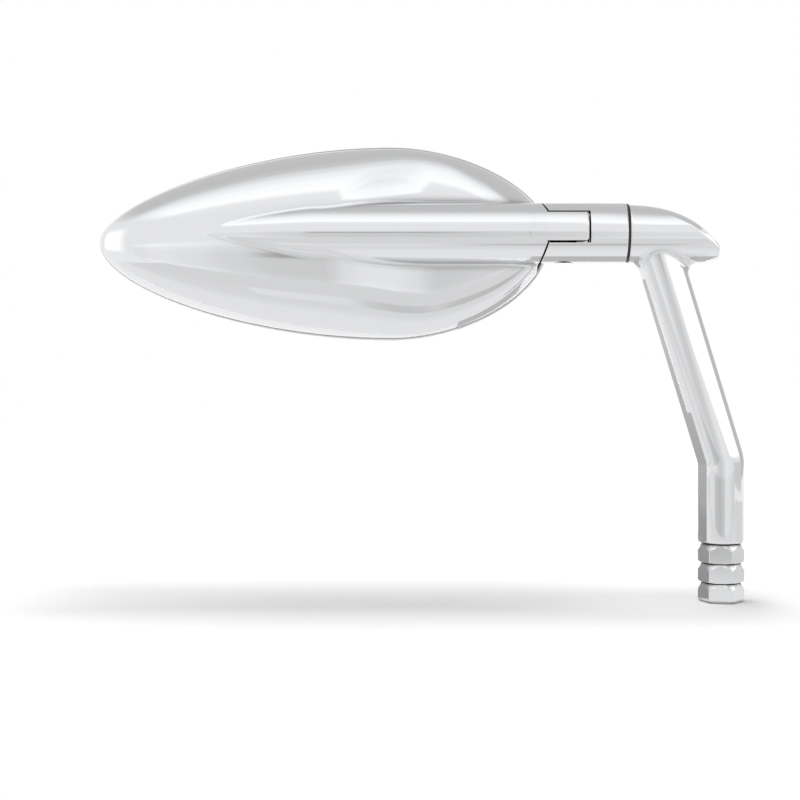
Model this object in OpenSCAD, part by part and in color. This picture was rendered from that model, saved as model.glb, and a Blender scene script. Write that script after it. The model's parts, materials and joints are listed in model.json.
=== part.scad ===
// Motorcycle handlebar mirror: a chromed teardrop head with a spear-shaped stem, a forked knuckle that
// lets the head trim and swivel, and a bent round arm that stands on a hexagonal threaded adapter.
// The origin is the mouth of the adapter's thread. +Z runs up the lower post, -X towards the head's tip
// and +Y towards the rider, who looks into the glass.

/* [Arm] */
// Diameter of the bent post
post_d = 19; // [14:0.5:22]
// Height of the bend above the adapter's foot
bend_z = 58.4; // [45:0.1:80]
// How far the swivel's centre stands left of the lower post
arm_reach = 28.8; // [15:0.1:45]
// Height of the swivel axis above the adapter's foot
axis_z = 153; // [120:0.5:200]
// Rounding of the post's lower edge
post_edge_r = 1.2; // [0.5:0.1:3]
// Diameter of the barrel, the knuckle and the stem, which run on in one line
barrel_d = 25; // [20:0.5:32]
// How far the barrel reaches left of the post's centre line
barrel_left = 10.2; // [9:0.1:16]
// Radius of the curved cut that makes the barrel's beak
beak_r = 49; // [35:1:70]
// How far the beak's tip reaches right of the lower post's centre
beak_reach = 0.8; // [-4:0.1:8]
// Height of the beak's tip above the barrel's lowest line
beak_tip_h = 2.5; // [1.5:0.1:4]
// Slope of the lip that runs down from the beak's tip
beak_lip_slope = 21; // [10:1:35]

/* [Foot adapter] */
// Height of one hexagonal ring, neck and rounding included
ring_pitch = 8.1; // [6:0.1:10]
// How many hexagonal rings the adapter has
ring_count = 3; // [2:1:4]
// Width of a hexagonal ring across its corners
hex_corners = 19.2; // [16:0.1:24]
// Turn of the hexagon from the place where its corners lie left and right
hex_turn = -11; // [-30:1:30]
// Radius of the neck where it meets the ring above
neck_r = 8.1; // [7:0.1:8.3]
// Radius of the neck where it leaves the ring below
neck_base_r = 8.7; // [8.3:0.1:9]
// Height of the neck over each ring
neck_h = 2; // [1:0.1:3]
// Height of the chamfer and of the rounding that end a hexagonal band
hex_edge = 1.2; // [0.6:0.1:1.6]
// Radius of the tapped hole in the foot
foot_thread_r = 4.4; // [3:0.1:5]
// Depth of the tapped hole in the foot
foot_thread_depth = 11; // [8:0.5:14]
// Radius of the stud that joins the adapter to the arm
stud_r = 4; // [3:0.5:5]
// How far the stud reaches into the adapter and into the arm
stud_reach = 11; // [8:0.5:12]

/* [Swivel] */
// Gap between the barrel and the knuckle, which the friction ring fills
swivel_gap = 0.9; // [0.6:0.1:2]
// Diameter of the spigot that the knuckle turns on
spigot_d = 14; // [10:0.5:16]
// Length of the spigot
spigot_len = 6.4; // [4:0.1:8]
// Radius of the swivel screw's shank
swivel_screw_r = 2.5; // [2:0.25:3]
// Radius of the swivel screw's head
swivel_head_r = 4.25; // [3.5:0.05:4.4]
// Height of the swivel screw's head
swivel_head_h = 3.2; // [2.5:0.1:3.6]
// Length of the swivel screw under its head
swivel_screw_len = 18; // [14:0.5:22]
// Wall of the knuckle between the spigot's bore and the screw's pocket
swivel_web = 2.5; // [2:0.1:3]
// Chamfer round the faces where the barrel and the knuckle meet
face_chamfer = 0.3; // [0.1:0.1:0.6]

/* [Knuckle and tongue] */
// Distance from the swivel gap to the trim pivot
pivot_from_gap = 25.8; // [22:0.1:32]
// Distance from the trim pivot to the tongue's flat end
tongue_past_pivot = 9.5; // [8:0.1:11]
// Height of the tongue's top face above the swivel axis
tongue_top = 8; // [6:0.1:9]
// Depth of the tongue's lower face below the swivel axis
tongue_bottom = 3.9; // [3:0.1:5]
// Rounding of the tongue's end
tongue_end_r = 1.1; // [0.5:0.1:2]
// Gap between the tongue's top and the upper prong
gap_above = 0.55; // [0.4:0.05:1]
// Gap between the tongue's underside and the lower prong
gap_below = 0.9; // [0.5:0.1:1.2]
// Gap between the tongue's end and the bottom of the fork
gap_end = 0.9; // [0.7:0.1:1.5]
// Gap between the prongs' slanted tips and the shoulders of the head
gap_shoulder = 0.8; // [0.7:0.1:1.2]
// Distance from the trim pivot to the prongs' tips where they meet the fork
shoulder_from_pivot = 7; // [6:0.1:10]
// Lean of the upper shoulder off the vertical
upper_lean = 32; // [0:1:40]
// Lean of the lower shoulder off the vertical
lower_lean = 20; // [0:1:40]
// Radius of the trim pivot's screw
pivot_r = 2; // [1.5:0.25:2.5]
// Radius of the trim screw's head
pivot_head_r = 3.5; // [3:0.1:4]
// Height of the trim screw's head
pivot_head_h = 4; // [3:0.1:4.2]
// Wall of the bronze bush round the trim screw
bush_wall = 2; // [1:0.1:3]
// Outer radius of the washers on the trim screw
pivot_washer_r = 5.5; // [4.5:0.1:6.5]

/* [Head] */
// Length of the head from its far tip to the nose behind the knuckle
head_length = 192.4; // [160:0.1:220]
// Distance from the trim pivot back to the head's nose
nose_past_pivot = 4.3; // [3:0.1:6]
// Distance from the nose to the head's tallest place
crown_from_nose = 68; // [55:1:85]
// Height of the head above its centre line
head_rise = 40.9; // [30:0.1:50]
// Depth of the head below its centre line
head_fall = 41.6; // [30:0.1:50]
// Drop of the head's centre line below the swivel axis
head_drop = 3; // [0:0.5:6]
// How far the shell's rim stands behind the barrel's back
rim_clear = 1; // [0.8:0.1:4]
// Depth of the shell at its deepest place
dome_depth = 22.2; // [18:0.1:26]
// Depth of the shell beside the stem
waist_depth = 13.5; // [10:0.1:16]
// Thickness of the shell's wall
shell_wall = 2.5; // [1.5:0.1:3.5]
// How far the shell's rim stands inside the bezel's edge
shell_inset = 1; // [0.5:0.1:2]
// Distance from the head's tip to the dome's deepest place
dome_from_tip = 94; // [80:1:110]
// Length over which the dome falls to the depth beside the stem
waist_length = 50; // [30:1:70]
// Length of the spear's taper
spear_taper = 80; // [65:1:95]
// Width of the fillet above the spear where it meets the stem
upper_fillet = 1.6; // [0.5:0.1:3]
// Width of the fillet below the spear
lower_fillet = 3.2; // [1:0.1:5]

/* [Bezel and glass] */
// Thickness of the black seal between the shell and the bezel
gasket_t = 0.5; // [0.4:0.1:1.5]
// Depth of the bezel
bezel_depth = 5; // [4:0.1:8]
// Width of the bezel's wall beside the glass
bezel_wall = 3.6; // [3:0.1:6]
// Width of the lip that holds the glass, measured from the bezel's edge
lip_width = 5.4; // [4.5:0.1:9]
// Thickness of the lip over the glass
lip_t = 1.4; // [1:0.1:2]
// Thickness of the mirror glass
glass_t = 2; // [1.5:0.1:2.2]
// Clearance round the glass
glass_clear = 0.2; // [0.1:0.1:0.5]
// Thickness of the foam pad under the glass
pad_t = 1; // [0.5:0.1:1.5]
// Thickness of the plate that carries the pad
plate_t = 2; // [1.8:0.1:3]
// Clearance between the plate and the shell's wall
plate_clear = 1.5; // [0.8:0.1:3]
// Radius of the plate screws' shanks
plate_screw_r = 1.5; // [1.25:0.25:2]
// Length of the plate screws
plate_screw_len = 7; // [6:0.5:9]
// Radius of the bosses that the plate is screwed to
boss_r = 4; // [3:0.5:5]

/* [Fits] */
// Running clearance of a bore round its pin, on the radius
run_clear = 0.05; // [0.02:0.01:0.1]
// Clearance between a turning face and the washer or ring beside it
face_clear = 0.05; // [0.02:0.01:0.1]
// Clearance of a screw or a bush in its own hole, on the radius
hole_clear = 0.02; // [0.01:0.01:0.1]
// Clearance round a screw's head in its pocket, on the radius
pocket_clear = 0.4; // [0.2:0.1:0.8]

/* [Quality] */
// Number of sections along each half of the head
sections = 16; // [10:1:22]
// Number of points across each side of the dome
dome_points = 8; // [6:1:12]
// Number of points across the spear
spear_points = 12; // [8:1:16]

/* [Hidden] */
$fn = 64;
// A length that passes right through whatever it cuts
through = 400;

// The arm's line, and the two faces of the swivel
barrel_r = barrel_d / 2;
post_r = post_d / 2;
post_lean = atan(arm_reach / (axis_z - bend_z));
post_slant = norm([arm_reach, axis_z - bend_z]);
foot_h = ring_pitch * ring_count;
barrel_face_x = -arm_reach - barrel_left;
knuckle_face_x = barrel_face_x - swivel_gap;
spigot_end_x = barrel_face_x - spigot_len;
beak_centre_z = barrel_r - beak_r;
beak_centre_x = beak_reach - sqrt(pow(beak_r, 2) - pow(beak_tip_h - barrel_r - beak_centre_z, 2));

// The knuckle's bore, web and pocket for the swivel screw
spigot_bore_x = spigot_end_x - 0.5;
pocket_floor_x = spigot_bore_x - swivel_web;
flat_washer_t = 1;
spring_washer_t = 1.6;
swivel_head_x = pocket_floor_x - face_clear - flat_washer_t - spring_washer_t;
swivel_washer_r = swivel_head_r + 0.35;

// The fork, the tongue and the pivot between them
pivot_x = knuckle_face_x - pivot_from_gap;
tongue_end_x = pivot_x + tongue_past_pivot;
fork_end_x = tongue_end_x + gap_end;
shoulder_x = pivot_x - shoulder_from_pivot;
stem_root_x = shoulder_x - 14;
// How far the slanted shoulders reach from the swivel axis before they stand upright
shoulder_reach = barrel_r + 0.8;
// Least half height of the shell beside the stem, so that its rim runs on past the shoulders
stem_half = barrel_r + 0.9;
bush_r = pivot_r + run_clear + bush_wall;
pivot_seat_z = -barrel_r + 0.3 + pivot_head_h;
pivot_end_z = tongue_top + gap_above + 2.8;

// The head's outline
nose_x = pivot_x - nose_past_pivot;
tip_x = nose_x - head_length;
crown_x = nose_x - crown_from_nose;
mid_z = axis_z - head_drop;
nose_z = axis_z - head_drop / 3;
far_handle = (crown_x - tip_x) / 2;
near_handle = crown_from_nose * 0.47;
// How steeply the outline leaves the tip and the nose, upwards and downwards
tip_handles = [head_rise * 0.4, head_fall * 0.46];
nose_handles = [head_rise * 0.5, head_fall * 0.58];
dome_x = tip_x + dome_from_tip;
waist_x = dome_x + waist_length;
// Powers that shape the dome's cross-section and ridge, where 2 is an ellipse, and the spear's taper
dome_power = 2.6;
spear_power = 1.4;
cavity_nose_x = stem_root_x - 1.5;

// The layers of the bezel and the glass, from the shell's rim to the back
rim_y = barrel_r + rim_clear;
bezel_y = rim_y + gasket_t;
back_y = bezel_y + bezel_depth;
glass_back_y = back_y - lip_t;
glass_front_y = glass_back_y - glass_t;
pad_front_y = glass_front_y - pad_t;
plate_front_y = pad_front_y - plate_t;
cavity_inset = shell_inset + shell_wall;
plate_inset = cavity_inset + plate_clear;
screw_spots = [
    [tip_x + head_length * 0.2, mid_z],
    [crown_x + 8, mid_z + head_rise * 0.58],
    [crown_x + 8, mid_z - head_fall * 0.58]
];

// A cubic curve through a and d, with b and c as its handles
function curve(a, b, c, d, t) =
    pow(1 - t, 3) * a + 3 * pow(1 - t, 2) * t * b + 3 * (1 - t) * t * t * c + t * t * t * d;

// Rises smoothly from 0 to 1 as v goes from a to b
function ease(v, a, b) =
    let (u = min(1, max(0, (v - a) / (b - a))))
    u * u * (3 - 2 * u);

// Place t runs from 0 at the tip over 1 at the crown to 2 at the nose
function edge_x(t, inset, nose) =
    t <= 1
        ? curve(tip_x + inset, tip_x + inset, crown_x - far_handle, crown_x, t)
        : curve(crown_x, crown_x + near_handle, nose - inset, nose - inset, t - 1);

// Height of the outline's upper edge (side 0) or lower edge (side 1) at place t
function edge_z(t, inset, side) =
    let (s = side == 0 ? 1 : -1)
    let (crown = mid_z + s * ((side == 0 ? head_rise : head_fall) - inset))
    let (shrink = 1 - inset / head_rise)
    t <= 1
        ? curve(mid_z, mid_z + s * tip_handles[side] * shrink, crown, crown, t)
        : curve(crown, crown, nose_z + s * nose_handles[side] * shrink, nose_z, t - 1);

// The whole outline as a closed ring of [x, z] points, two for each place but the ends
function outline(inset, nose = nose_x, steps = sections) = concat(
    [for (i = [0 : 2 * steps]) [edge_x(i / steps, inset, nose), edge_z(i / steps, inset, 0)]],
    [for (i = [2 * steps - 1 : -1 : 1]) [edge_x(i / steps, inset, nose), edge_z(i / steps, inset, 1)]]);

// Depth of the dome along its ridge
function ridge_depth(x) =
    x < dome_x
        ? dome_depth * sqrt(max(0, 1 - pow((dome_x - x) / (dome_x - tip_x - shell_inset), dome_power)))
        : dome_depth - (dome_depth - waist_depth) * ease(x, dome_x, waist_x);

// The dome's surface over height z in a section that runs from low to high
function dome_y(z, low, high, depth) =
    let (u = min(1, abs(2 * z - low - high) / (high - low)))
    rim_y - depth * sqrt(1 - pow(u, dome_power));

// Radius of the spear, which tapers towards the head's tip
function spear_r(x) =
    barrel_r / cos(90 / spear_points) * (1 - pow(max(0, dome_x - x) / spear_taper, spear_power));

// Angle round the spear, from its front, at which it dives into the dome on side s
function dive_angle(s, r, low, high, depth, from = 0, to = 105, tries = 16) =
    let (a = (from + to) / 2)
    let (proud = dome_y(axis_z + s * r * sin(a), low, high, depth) + r * cos(a) > 0)
    tries == 0 ? a : dive_angle(s, r, low, high, depth, proud ? a : from, proud ? to : a, tries - 1);

// One side of a section: dome from the rim, then the fillet, up to the spear's own surface
function side_points(s, r, low, high, depth, centre, width, angle, fillet) =
    let (rim = s > 0 ? high : low)
    let (crease = angle > 0 ? axis_z + s * r * sin(angle) : centre + s * width)
    let (outer = s * min(s * (crease + s * fillet), s * rim - 0.3))
    let (inner = angle > 0
        ? [-r * cos(angle - 30 * fillet / r), axis_z + s * r * sin(angle - 30 * fillet / r)]
        : [dome_y(crease - s * width / 4, low, high, depth), crease - s * width / 4])
    let (outer_point = [dome_y(outer, low, high, depth), outer])
    let (crease_point = [dome_y(crease, low, high, depth), crease])
    concat(
        [for (i = [0 : dome_points])
            let (z = rim + (outer - rim) * (1 - cos(90 * i / dome_points)))
            i == 0 ? [rim_y, rim] : [dome_y(z, low, high, depth), z]],
        [(outer_point + 2 * crease_point + inner) / 4, inner]);

// The points between the two inner ends of the fillets, on the spear or on the bare dome
function middle_points(r, low, high, depth, centre, width, angles, fillets) =
    let (from = -angles[1] + 30 * fillets[1] / r)
    let (to = angles[0] - 30 * fillets[0] / r)
    [for (i = [1 : spear_points - 1])
        let (u = i / spear_points)
        let (a = from + (to - from) * u)
        let (z = centre - 0.75 * width + 1.5 * width * u)
        angles[0] > 0 && angles[1] > 0
            ? [-r * cos(a), axis_z + r * sin(a)]
            : [dome_y(z, low, high, depth), z]];

// One outer section of the shell at place t, from the lower rim over the front to the upper rim
function shell_section(t) =
    let (x = edge_x(t, shell_inset, nose_x))
    let (r = spear_r(x))
    let (high = max(edge_z(t, shell_inset, 0), t > 1 ? axis_z + stem_half : 0))
    let (low = t > 1 ? min(edge_z(t, shell_inset, 1), axis_z - stem_half) : edge_z(t, shell_inset, 1))
    let (depth = ridge_depth(x))
    let (proud = r > 1 && dome_y(axis_z, low, high, depth) + r > 0.05)
    let (angles = proud ? [for (s = [1, -1]) dive_angle(s, r, low, high, depth)] : [0, 0])
    let (half = (high - low) / 2)
    let (centre = (high + low) / 2 + (axis_z - (high + low) / 2) * ease(x, tip_x, tip_x + 40))
    let (width = min(1, half * 0.2))
    let (growth = ease(x, dome_x - 40, dome_x + 10))
    let (fillets = [0.2 + upper_fillet * growth, 0.2 + lower_fillet * growth])
    let (below = side_points(-1, r, low, high, depth, centre, width, angles[1], fillets[1]))
    let (above = side_points(1, r, low, high, depth, centre, width, angles[0], fillets[0]))
    [for (p = concat(
        below,
        middle_points(r, low, high, depth, centre, width, angles, fillets),
        [for (i = [len(above) - 1 : -1 : 0]) above[i]])) [x, p[0], p[1]]];

// One section of the cavity behind the shell, which follows the dome at the wall's distance
function cavity_section(t) =
    let (x = edge_x(t, cavity_inset, cavity_nose_x))
    let (high = edge_z(t, cavity_inset, 0))
    let (low = edge_z(t, cavity_inset, 1))
    let (end = min(1, sqrt(max(0, cavity_nose_x - cavity_inset - x) / 12)))
    let (depth = max(0.2, (ridge_depth(x) - shell_wall) * end))
    let (n = 2 * dome_points)
    [for (i = [0 : n])
        let (z = (low + high) / 2 - (high - low) / 2 * cos(180 * i / n))
        [x, i == 0 || i == n ? rim_y : dome_y(z, low, high, depth), z]];

// Faces between the sections of a grid of m by n points that starts at the point numbered base
function grid_faces(m, n, base, inside) = [
    for (i = [0 : m - 2], j = [0 : n - 2])
        let (a = base + i * n + j)
        each inside
            ? [[a, a + n + 1, a + 1], [a, a + n, a + n + 1]]
            : [[a, a + 1, a + n + 1], [a, a + n + 1, a + n]]];

// The closed shell with its cavity, as one mesh
module shell() {
    places = concat([for (i = [1 : sections]) i / sections], [for (i = [1 : sections]) 1 + 0.9 * i / sections]);
    hollow_places = [for (i = [1 : 2 * sections]) i <= sections ? i / sections : i / sections * 0.94 + 0.06];
    outer = [for (t = places) shell_section(t)];
    inner = [for (t = hollow_places) cavity_section(t)];
    m = len(outer);
    n = len(outer[0]);
    k = len(inner[0]);
    base = m * n;
    tip = base + m * k;
    points = concat(
        [for (s = outer) each s],
        [for (s = inner) each s],
        [[tip_x + shell_inset, rim_y, mid_z],
            [tip_x + cavity_inset, rim_y, mid_z],
            [cavity_nose_x - cavity_inset, rim_y, nose_z]]);
    last = base - n;
    last_in = tip - k;
    rim_low = [for (i = [0 : m - 2]) [i * n, (i + 1) * n, base + (i + 1) * k, base + i * k]];
    rim_high = [for (i = [0 : m - 2])
        [i * n + n - 1, base + i * k + k - 1, base + (i + 1) * k + k - 1, (i + 1) * n + n - 1]];
    ends = [
        [tip, 0, base, tip + 1],
        [tip, tip + 1, base + k - 1, n - 1],
        [last, tip + 2, last_in],
        [last, last + n - 1, tip + 2],
        [last + n - 1, last_in + k - 1, tip + 2],
        [for (j = [0 : n - 1]) last + n - 1 - j]
    ];
    polyhedron(points, concat(
        grid_faces(m, n, 0, false),
        grid_faces(m, k, base, true),
        [for (j = [0 : n - 2]) [tip, j + 1, j]],
        [for (j = [0 : k - 2]) [tip + 1, base + j, base + j + 1]],
        [for (j = [0 : k - 2]) [last_in + j, tip + 2, last_in + j + 1]],
        rim_low,
        rim_high,
        ends), convexity = 6);
}

// A cylinder along +X from x0 to x1, on the swivel axis
module axle(r, x0, x1) {
    translate([x0, 0, axis_z])
        rotate([0, 90, 0])
            cylinder(r = r, h = x1 - x0);
}

// A bar of the barrel's size along +X from x0 to x1, with a chamfer round each end that is given as 1
module barrel_bar(x0, x1, left_chamfer = 0, right_chamfer = 0) {
    a = left_chamfer * face_chamfer;
    b = right_chamfer * face_chamfer;
    translate([x0, 0, axis_z])
        rotate([0, 90, 0])
            rotate_extrude()
                polygon([[0, 0], [barrel_r - a, 0], [barrel_r, a], [barrel_r, x1 - x0 - b],
                    [barrel_r - b, x1 - x0], [0, x1 - x0]]);
}

// A cylinder upwards on the trim pivot, between heights given from the swivel axis
module pivot_pin(r, z0, z1) {
    translate([pivot_x, 0, axis_z + z0])
        cylinder(r = r, h = z1 - z0);
}

// A plate with the head's outline, from y0 towards the rider
module head_plate(inset, y0, t, nose = nose_x) {
    translate([0, y0 + t, 0])
        rotate([90, 0, 0])
            linear_extrude(t)
                polygon(outline(inset, nose));
}

// A prism along Y from its outline in X and in height over the swivel axis
module joint_prism(points) {
    translate([0, through / 2, axis_z])
        rotate([90, 0, 0])
            linear_extrude(through)
                polygon(points);
}

// Everything right of the shoulders, moved right by shift: the head loses it and the prongs keep it
function shoulder_outline(shift) =
    let (top = tongue_top + gap_above)
    let (low = tongue_bottom + gap_below)
    let (x = shoulder_x + shift)
    let (upper_x = x - (shoulder_reach - top) * tan(upper_lean))
    let (lower_x = x - (shoulder_reach - low) * tan(lower_lean))
    [[x, top],
        [upper_x, shoulder_reach],
        [upper_x, through / 4],
        [through / 4, through / 4],
        [through / 4, -through / 4],
        [lower_x, -through / 4],
        [lower_x, -shoulder_reach],
        [x, -low]];

module arm() {
    color("gainsboro") difference() {
        union() {
            // Lower post, with its rounded foot
            rotate_extrude()
                union() {
                    translate([0, foot_h])
                        square([post_r - post_edge_r, bend_z - foot_h]);
                    translate([0, foot_h + post_edge_r])
                        square([post_r, bend_z - foot_h - post_edge_r]);
                    translate([post_r - post_edge_r, foot_h + post_edge_r])
                        circle(r = post_edge_r);
                }
            translate([0, 0, bend_z])
                sphere(r = post_r);
            // Leaning post, up to the swivel axis
            translate([0, 0, bend_z])
                rotate([0, -post_lean, 0])
                    cylinder(r = post_r, h = post_slant);
            // Barrel with its beak, a cylinder under one long curve
            intersection() {
                barrel_bar(barrel_face_x, beak_reach + 10, left_chamfer = 1);
                translate([beak_centre_x, 0, axis_z + beak_centre_z])
                    rotate([90, 0, 0])
                        cylinder(r = beak_r, h = 2 * barrel_d, center = true, $fn = 160);
            }
            axle(spigot_d / 2, spigot_end_x, barrel_face_x + 1);
        }
        // Lip under the beak's tip
        translate([beak_reach, 0, axis_z - barrel_r + beak_tip_h])
            rotate([0, -beak_lip_slope, 0])
                translate([-barrel_d / 2, -barrel_d, -barrel_d])
                    cube([barrel_d, 2 * barrel_d, barrel_d]);
        // Tapped holes for the swivel screw and the foot's stud
        axle(swivel_screw_r + hole_clear, spigot_end_x - 1, swivel_head_x + swivel_screw_len + 2);
        translate([0, 0, foot_h - 1])
            cylinder(r = stud_r + hole_clear, h = stud_reach + 2);
    }
}

// Half the outline of one ring and its neck, which rounds the corners off the hexagon
module ring_profile() {
    corner_r = hex_corners / 2;
    band_top = ring_pitch - neck_h - hex_edge;
    union() {
        square([corner_r - hex_edge, ring_pitch - neck_h]);
        translate([0, hex_edge])
            square([corner_r, band_top - hex_edge]);
        translate([corner_r - hex_edge, hex_edge])
            circle(r = hex_edge);
        polygon([[0, band_top], [corner_r, band_top], [neck_base_r, ring_pitch - neck_h],
            [neck_r, ring_pitch], [0, ring_pitch]]);
    }
}

module foot_adapter() {
    color("silver") difference() {
        // Hexagonal bar, turned down to round necks between its rings
        intersection() {
            rotate([0, 0, hex_turn])
                cylinder(d = hex_corners, h = foot_h, $fn = 6);
            for (i = [0 : ring_count - 1])
                translate([0, 0, i * ring_pitch])
                    rotate_extrude()
                        ring_profile();
        }
        translate([0, 0, -1])
            cylinder(r = foot_thread_r, h = foot_thread_depth + 1);
        translate([0, 0, foot_h - stud_reach])
            cylinder(r = stud_r + hole_clear, h = stud_reach + 1);
    }
}

module foot_stud() {
    color("dimgray")
        translate([0, 0, foot_h - stud_reach])
            cylinder(r = stud_r, h = 2 * stud_reach);
}

module swivel_friction_ring() {
    color("black") difference() {
        axle(barrel_r - face_chamfer, knuckle_face_x + face_clear, barrel_face_x);
        axle(spigot_d / 2 + pocket_clear, knuckle_face_x - 1, barrel_face_x + 1);
    }
}

module swivel_flat_washer() {
    color("silver") difference() {
        axle(swivel_washer_r, pocket_floor_x - face_clear - flat_washer_t, pocket_floor_x - face_clear);
        axle(swivel_screw_r + 0.1, swivel_head_x - 1, barrel_face_x);
    }
}

// Two dished washers, back to back, that keep the swivel stiff
module swivel_spring_washers() {
    half = spring_washer_t / 2;
    color("slategray")
        for (side = [0, 1])
            translate([swivel_head_x + half, 0, axis_z])
                mirror([side, 0, 0])
                    rotate([0, 90, 0])
                        rotate_extrude()
                            polygon([[swivel_screw_r + 0.1, 0], [swivel_screw_r + 0.1, half * 0.6],
                                [swivel_head_r - 0.05, half], [swivel_head_r - 0.05, half * 0.4],
                                [swivel_screw_r + 1, 0]]);
}

module swivel_screw() {
    color("dimgray") difference() {
        union() {
            axle(swivel_head_r, swivel_head_x - swivel_head_h, swivel_head_x);
            axle(swivel_screw_r, swivel_head_x - 0.5, swivel_head_x + swivel_screw_len);
        }
        translate([swivel_head_x - swivel_head_h - 1, 0, axis_z])
            rotate([0, 90, 0])
                cylinder(d = swivel_screw_r * 1.8, h = 3, $fn = 6);
    }
}

module knuckle() {
    color("gainsboro") difference() {
        intersection() {
            barrel_bar(pivot_x - 2 * barrel_d, knuckle_face_x, right_chamfer = 1);
            joint_prism(shoulder_outline(gap_shoulder / 2));
        }
        // The fork's slot
        translate([pivot_x - 2 * barrel_d, -barrel_d, axis_z - tongue_bottom - gap_below])
            cube([fork_end_x - pivot_x + 2 * barrel_d, 2 * barrel_d,
                tongue_top + gap_above + tongue_bottom + gap_below]);
        // Bore for the spigot, hole for the swivel screw and the pocket for its head
        axle(spigot_d / 2 + run_clear, spigot_bore_x, knuckle_face_x + 1);
        axle(swivel_screw_r + pocket_clear, pocket_floor_x - 1, spigot_bore_x + 1);
        axle(swivel_washer_r + pocket_clear, fork_end_x - 0.5 - tongue_end_r, pocket_floor_x);
        // Pocket, hole and thread of the trim screw
        pivot_pin(pivot_head_r + 0.3, -barrel_d, pivot_seat_z);
        pivot_pin(pivot_r + run_clear, pivot_seat_z - 1, pivot_end_z + 0.3);
    }
}

module pivot_screw() {
    color("dimgray") difference() {
        union() {
            pivot_pin(pivot_head_r, pivot_seat_z - pivot_head_h, pivot_seat_z);
            pivot_pin(pivot_r, pivot_seat_z - 0.5, pivot_end_z);
        }
        translate([pivot_x, 0, axis_z + pivot_seat_z - pivot_head_h - 1])
            cylinder(d = pivot_r * 1.7, h = 3, $fn = 6);
    }
}

module upper_pivot_washer() {
    color("black") difference() {
        pivot_pin(pivot_washer_r, tongue_top + face_clear, tongue_top + gap_above);
        pivot_pin(pivot_r + 0.1, tongue_top - 1, tongue_top + gap_above + 1);
    }
}

module lower_pivot_washer() {
    color("black") difference() {
        pivot_pin(pivot_washer_r, -tongue_bottom - gap_below, -tongue_bottom - face_clear);
        pivot_pin(pivot_r + 0.1, -tongue_bottom - gap_below - 1, -tongue_bottom + 1);
    }
}

// The flat tongue: a slice of the stem's cylinder with a softly rounded end
module tongue() {
    height = tongue_top + tongue_bottom;
    intersection() {
        axle(barrel_r, stem_root_x, tongue_end_x + 1);
        union() {
            translate([stem_root_x - 1, -barrel_d, axis_z - tongue_bottom])
                cube([tongue_end_x - tongue_end_r - stem_root_x + 1, 2 * barrel_d, height]);
            translate([tongue_end_x - 2 * tongue_end_r, -barrel_d, axis_z - tongue_bottom + tongue_end_r])
                cube([2 * tongue_end_r, 2 * barrel_d, height - 2 * tongue_end_r]);
            for (z = [tongue_end_r - tongue_bottom, tongue_top - tongue_end_r])
                translate([tongue_end_x - tongue_end_r, 0, axis_z + z])
                    rotate([90, 0, 0])
                        cylinder(r = tongue_end_r, h = 2 * barrel_d, center = true);
        }
    }
}

// Height over the rim of the shell's outer face at a screw's spot
function spot_y(spot) =
    let (half = head_rise * 0.97)
    dome_y(spot[1], mid_z - half, mid_z + half, ridge_depth(spot[0]));

module housing() {
    color("gainsboro") difference() {
        union() {
            difference() {
                shell();
                joint_prism(shoulder_outline(-gap_shoulder / 2));
            }
            tongue();
            for (spot = screw_spots)
                translate([spot[0], plate_front_y, spot[1]])
                    rotate([90, 0, 0])
                        cylinder(r = boss_r, h = plate_front_y - spot_y(spot) - shell_wall * 0.6);
        }
        pivot_pin(bush_r, -barrel_d, barrel_d);
        for (spot = screw_spots)
            translate([spot[0], plate_front_y + 1, spot[1]])
                rotate([90, 0, 0])
                    cylinder(r = plate_screw_r + hole_clear, h = plate_screw_len - plate_t + 1.5);
    }
}

module pivot_bush() {
    color("peru") difference() {
        pivot_pin(bush_r - hole_clear, -tongue_bottom, tongue_top);
        pivot_pin(pivot_r + run_clear, -barrel_d, barrel_d);
    }
}

module glass_gasket() {
    color("black") difference() {
        head_plate(shell_inset + 0.6, rim_y, gasket_t);
        head_plate(bezel_wall, rim_y - 1, gasket_t + 2);
    }
}

// The bezel's cross-section, as [inset from the outline, y] pairs
bezel_profile = [
    [0.9, bezel_y], [0.3, bezel_y + 0.5], [0, bezel_y + 1.5], [0, back_y - 1.8],
    [0.3, back_y - 0.8], [1.1, back_y], [lip_width - 1, back_y], [lip_width - 0.2, back_y - 0.4],
    [lip_width, glass_back_y], [bezel_wall, glass_back_y], [bezel_wall, bezel_y]
];

module bezel() {
    rings = [for (p = bezel_profile) [for (q = outline(p[0])) [q[0], p[1], q[1]]]];
    m = len(rings);
    n = len(rings[0]);
    color("gainsboro")
        polyhedron([for (r = rings) each r], [
            for (i = [0 : m - 1], j = [0 : n - 1])
                let (a = i * n + j)
                let (b = i * n + (j + 1) % n)
                let (c = (i + 1) % m * n + j)
                let (d = (i + 1) % m * n + (j + 1) % n)
                each [[a, b, d], [a, d, c]]], convexity = 6);
}

module mirror_glass() {
    color("lightblue")
        head_plate(bezel_wall + glass_clear, glass_front_y, glass_t);
}

module foam_pad() {
    color("darkslategray")
        head_plate(plate_inset + 0.5, pad_front_y, pad_t, cavity_nose_x);
}

module backing_plate() {
    color("dimgray") difference() {
        head_plate(plate_inset, plate_front_y, plate_t, cavity_nose_x);
        for (spot = screw_spots)
            plate_screw(spot, 0.1);
    }
}

// A countersunk screw whose head lies flush with the plate, grown by extra
module plate_screw(spot, extra) {
    head_r = plate_screw_r * 1.85;
    translate([spot[0], pad_front_y, spot[1]])
        rotate([90, 0, 0])
            union() {
                cylinder(r1 = head_r + extra, r2 = plate_screw_r + extra, h = head_r - plate_screw_r);
                cylinder(r = plate_screw_r + extra, h = plate_screw_len);
            }
}

module plate_screws() {
    color("silver")
        for (spot = screw_spots)
            plate_screw(spot, 0);
}

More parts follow.
